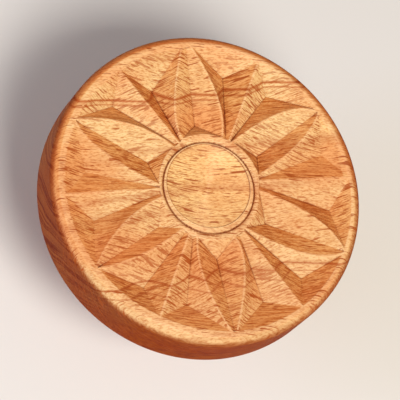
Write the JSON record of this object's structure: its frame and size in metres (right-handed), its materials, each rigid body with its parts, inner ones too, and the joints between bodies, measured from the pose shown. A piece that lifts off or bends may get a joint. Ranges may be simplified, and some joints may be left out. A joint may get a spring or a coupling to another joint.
{
  "type": "cookie stamp",
  "caption": "Round wooden cookie stamp with a chip-carved petal rosette on its face and a turned knob handle dowelled to the back.",
  "frame": {"origin": "centre of the knob's flat end, the face that the stamp stands on", "axes": "+Z along the axis of the turning, from the knob's end to the carved face; +X through a ridge of the rosette"},
  "size_m": [0.08, 0.08, 0.0465],
  "materials": {
    "oiled_beech": "hand-carved and turned beech, oiled, satin",
    "raw_beech": "milled beech, untreated"
  },
  "bodies": {
    "root": {"stamp_head": "oiled_beech", "knob": "oiled_beech", "dowel_pin": "raw_beech"}
  },
  "joints": []
}
